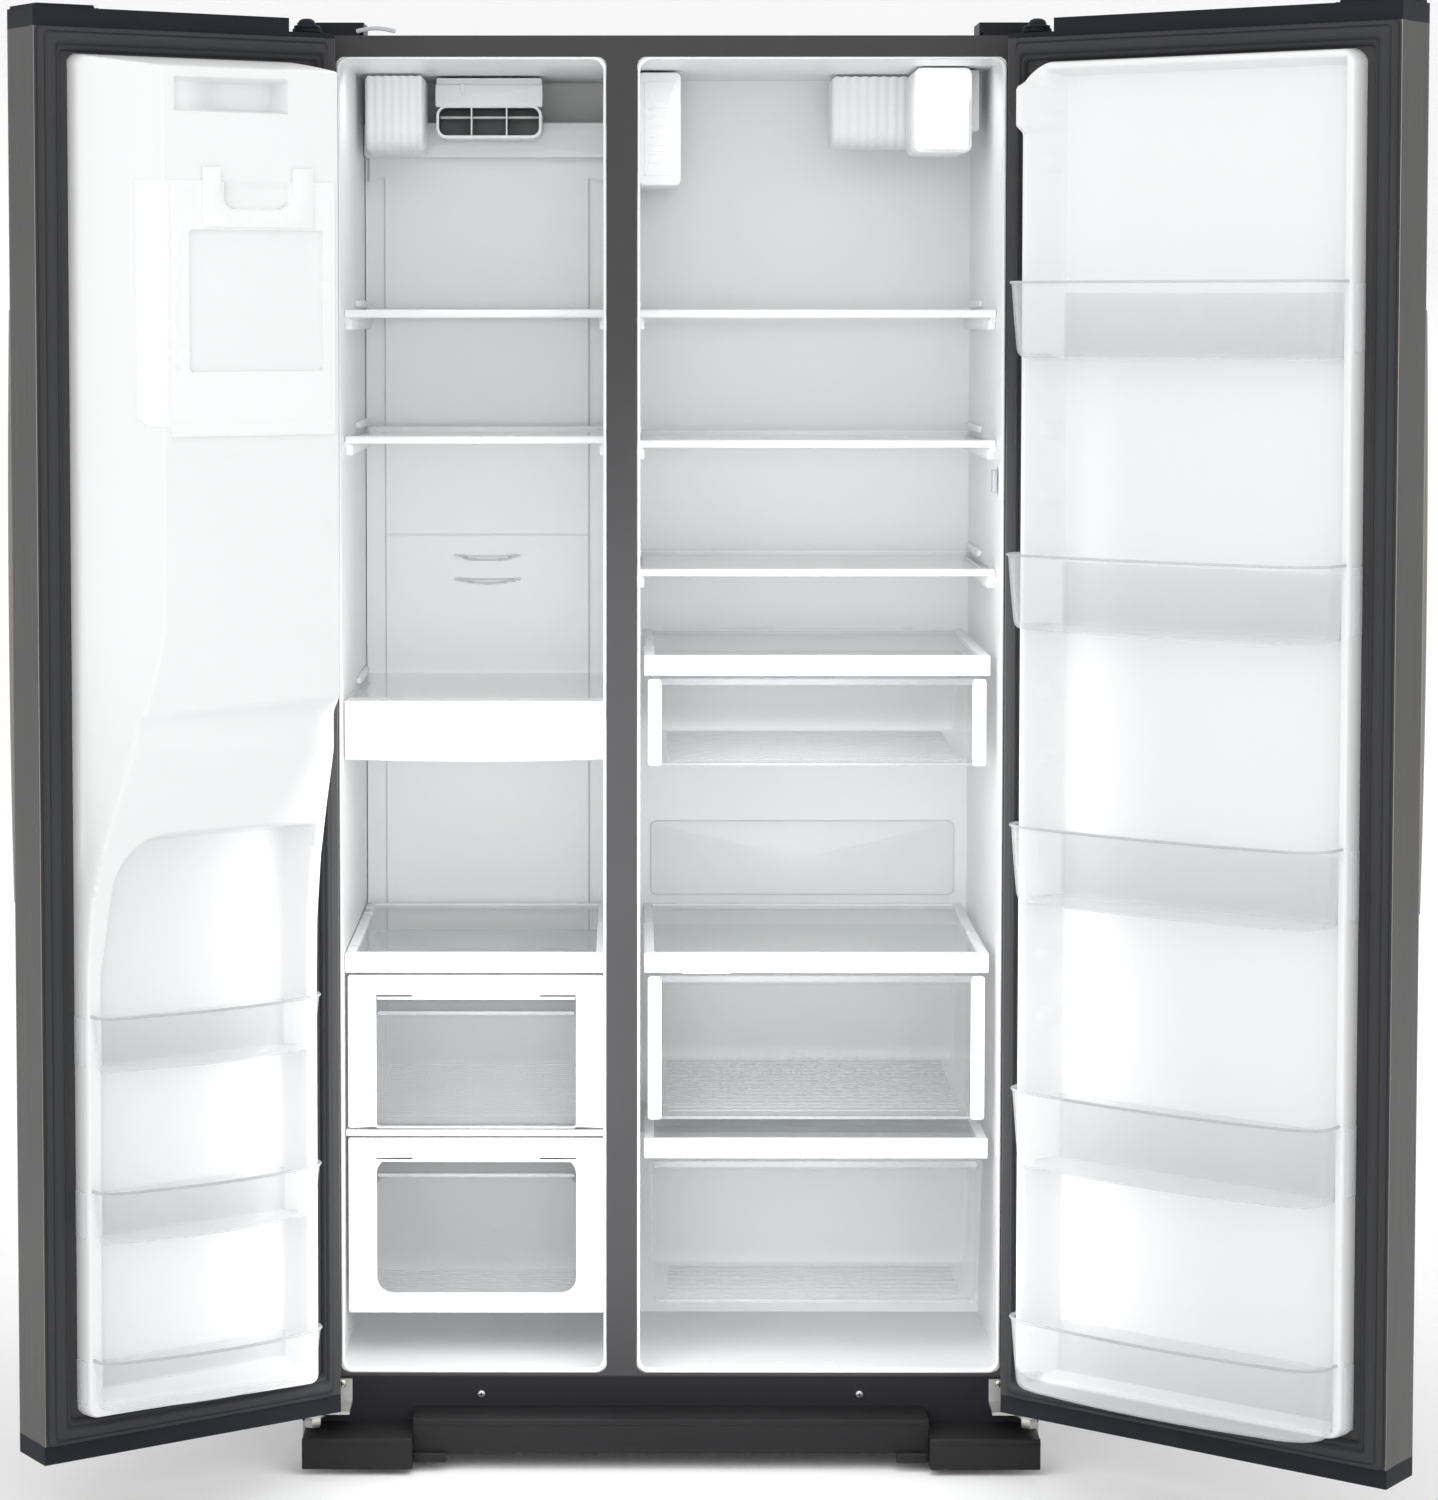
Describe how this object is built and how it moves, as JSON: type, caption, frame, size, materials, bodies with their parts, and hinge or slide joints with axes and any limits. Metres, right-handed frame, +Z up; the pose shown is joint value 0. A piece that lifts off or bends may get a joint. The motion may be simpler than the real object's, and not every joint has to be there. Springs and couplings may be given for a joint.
{
  "type": "side by side refrigerator",
  "caption": "Side by side refrigerator with open doors, glass shelves, crispers, freezer baskets, clear door bins and an ice module in the freezer door.",
  "frame": {"origin": "on the floor under the middle of the cabinet's front edge", "axes": "+X to the right as seen from the front, +Y towards the back, +Z up"},
  "size_m": [1.6444, 1.0453, 1.761],
  "materials": {
    "cabinet_paint": "satin",
    "frame_charcoal": "satin",
    "door_steel": "satin",
    "liner_white": "satin",
    "trim_white": "gloss",
    "clear_plastic": "gloss",
    "shelf_glass": "gloss",
    "lamp_white": "satin",
    "foam": "matte",
    "cap_black": "matte",
    "seal_grey": "matte",
    "zinc": "satin",
    "grille_black": "matte",
    "galvanised": "satin",
    "black_enamel": "gloss",
    "fin_aluminium": "satin",
    "fan_plastic": "matte",
    "roller_plastic": "matte",
    "button_grey": "matte",
    "ice_bin_grey": "satin"
  },
  "bodies": {
    "cabinet": {"cabinet_shell": "cabinet_paint", "front_frame": "frame_charcoal", "freezer_liner": "liner_white", "fridge_liner": "liner_white", "cabinet_foam": "foam", "rear_panel": "galvanised", "machine_room_cover": "cap_black", "base_pan": "galvanised", "leveling_feet": "zinc", "base_grille": "grille_black", "cabinet_screws": "zinc", "top_hinges": "zinc", "bottom_hinges": "zinc", "compressor": "black_enamel", "condenser_coil": "black_enamel", "drain_pan": "galvanised", "fan_motors": "black_enamel", "water_inlet_valve": "roller_plastic", "evaporator": "fin_aluminium", "evaporator_cover": "liner_white", "air_ducts": "trim_white", "light_lenses": "lamp_white", "filter_housing": "trim_white", "shelf_panes": "shelf_glass", "shelf_trims": "trim_white", "freezer_light_fascia": "lamp_white", "crisper_covers": "trim_white", "basket_cover": "trim_white"},
    "freezer_door": {"freezer_door_skin": "door_steel", "freezer_door_caps": "cap_black", "freezer_door_foam": "foam", "freezer_door_liner": "liner_white", "ice_module": "liner_white", "freezer_door_gasket": "seal_grey", "freezer_door_handle": "door_steel", "freezer_door_bins": "clear_plastic", "dispenser_housing": "grille_black"},
    "fridge_door": {"fridge_door_skin": "door_steel", "fridge_door_caps": "cap_black", "fridge_door_foam": "foam", "fridge_door_liner": "liner_white", "fridge_door_gasket": "seal_grey", "fridge_door_handle": "door_steel", "fridge_door_bins": "clear_plastic"},
    "upper_crisper": {"upper_crisper": "clear_plastic"},
    "middle_crisper": {"middle_crisper": "clear_plastic"},
    "lower_crisper": {"lower_crisper": "clear_plastic"},
    "freezer_upper_basket": {"freezer_upper_basket": "trim_white"},
    "freezer_lower_basket": {"freezer_lower_basket": "trim_white"},
    "humidity_slider": {"humidity_slider": "trim_white"},
    "water_filter": {"water_filter": "trim_white"},
    "filter_door": {"filter_door": "trim_white"},
    "light_switch": {"light_switch": "button_grey"},
    "rear_roller_left": {"rear_roller_left": "roller_plastic"},
    "rear_roller_right": {"rear_roller_right": "roller_plastic"},
    "condenser_fan": {"condenser_fan": "fan_plastic"},
    "evaporator_fan": {"evaporator_fan": "fan_plastic"},
    "ice_bin": {"ice_bin": "ice_bin_grey"},
    "ice_bin_latch": {"ice_bin_latch": "button_grey"},
    "dispenser_paddle": {"dispenser_paddle": "cap_black"}
  },
  "joints": [
    {"name": "freezer_door_hinge", "type": "hinge", "parent": "cabinet", "child": "freezer_door", "pos_m": [-0.4365, -0.052, 0.9], "axis": [0, 0, -1], "range_deg": [-146.2, 3.8]},
    {"name": "fridge_door_hinge", "type": "hinge", "parent": "cabinet", "child": "fridge_door", "pos_m": [0.4365, -0.052, 0.9], "axis": [0, 0, 1], "range_deg": [-143.4, 6.6]},
    {"name": "upper_crisper_slide", "type": "slide", "parent": "cabinet", "child": "upper_crisper", "axis": [0, -1, 0], "range_m": [0, 0.28]},
    {"name": "middle_crisper_slide", "type": "slide", "parent": "cabinet", "child": "middle_crisper", "axis": [0, -1, 0], "range_m": [0, 0.28]},
    {"name": "lower_crisper_slide", "type": "slide", "parent": "cabinet", "child": "lower_crisper", "axis": [0, -1, 0], "range_m": [0, 0.15]},
    {"name": "upper_basket_slide", "type": "slide", "parent": "cabinet", "child": "freezer_upper_basket", "axis": [0, -1, 0], "range_m": [0, 0.27]},
    {"name": "lower_basket_slide", "type": "slide", "parent": "cabinet", "child": "freezer_lower_basket", "axis": [0, -1, 0], "range_m": [0, 0.14]},
    {"name": "humidity_slider_slide", "type": "slide", "parent": "cabinet", "child": "humidity_slider", "axis": [1, 0, 0], "range_m": [-0.0175, 0.0175]},
    {"name": "water_filter_turn", "type": "hinge", "parent": "cabinet", "child": "water_filter", "pos_m": [0.344, 0.23, 1.646], "axis": [0, 1, 0], "range_deg": [0, 90]},
    {"name": "filter_door_hinge", "type": "hinge", "parent": "cabinet", "child": "filter_door", "pos_m": [0.344, 0.176, 1.617], "axis": [1, 0, 0], "range_deg": [0, 80]},
    {"name": "light_switch_press", "type": "slide", "parent": "cabinet", "child": "light_switch", "axis": [1, 0, 0], "range_m": [0, 0.003], "stiffness_N_per_m": 300},
    {"name": "rear_roller_left_spin", "type": "hinge", "parent": "cabinet", "child": "rear_roller_left", "pos_m": [-0.405, 0.54, 0.018], "axis": [1, 0, 0], "continuous": true},
    {"name": "rear_roller_right_spin", "type": "hinge", "parent": "cabinet", "child": "rear_roller_right", "pos_m": [0.405, 0.54, 0.018], "axis": [1, 0, 0], "continuous": true},
    {"name": "condenser_fan_spin", "type": "hinge", "parent": "cabinet", "child": "condenser_fan", "pos_m": [0.2, 0.493, 0.154], "axis": [0, 1, 0], "continuous": true},
    {"name": "evaporator_fan_spin", "type": "hinge", "parent": "cabinet", "child": "evaporator_fan", "pos_m": [-0.243, 0.502, 1.18], "axis": [0, 1, 0], "continuous": true},
    {"name": "ice_bin_slide", "type": "slide", "parent": "freezer_door", "child": "ice_bin", "axis": [0.5563, -0.831, 0], "range_m": [0, 0.078]},
    {"name": "ice_bin_latch_lift", "type": "slide", "parent": "ice_bin", "child": "ice_bin_latch", "axis": [0, 0, 1], "range_m": [0, 0.0075]},
    {"name": "dispenser_paddle_press", "type": "hinge", "parent": "freezer_door", "child": "dispenser_paddle", "pos_m": [-0.58594, -0.14964, 1.18], "axis": [-0.831, -0.5563, 0], "range_deg": [0, 8], "stiffness_Nm_per_rad": 0.6}
  ]
}
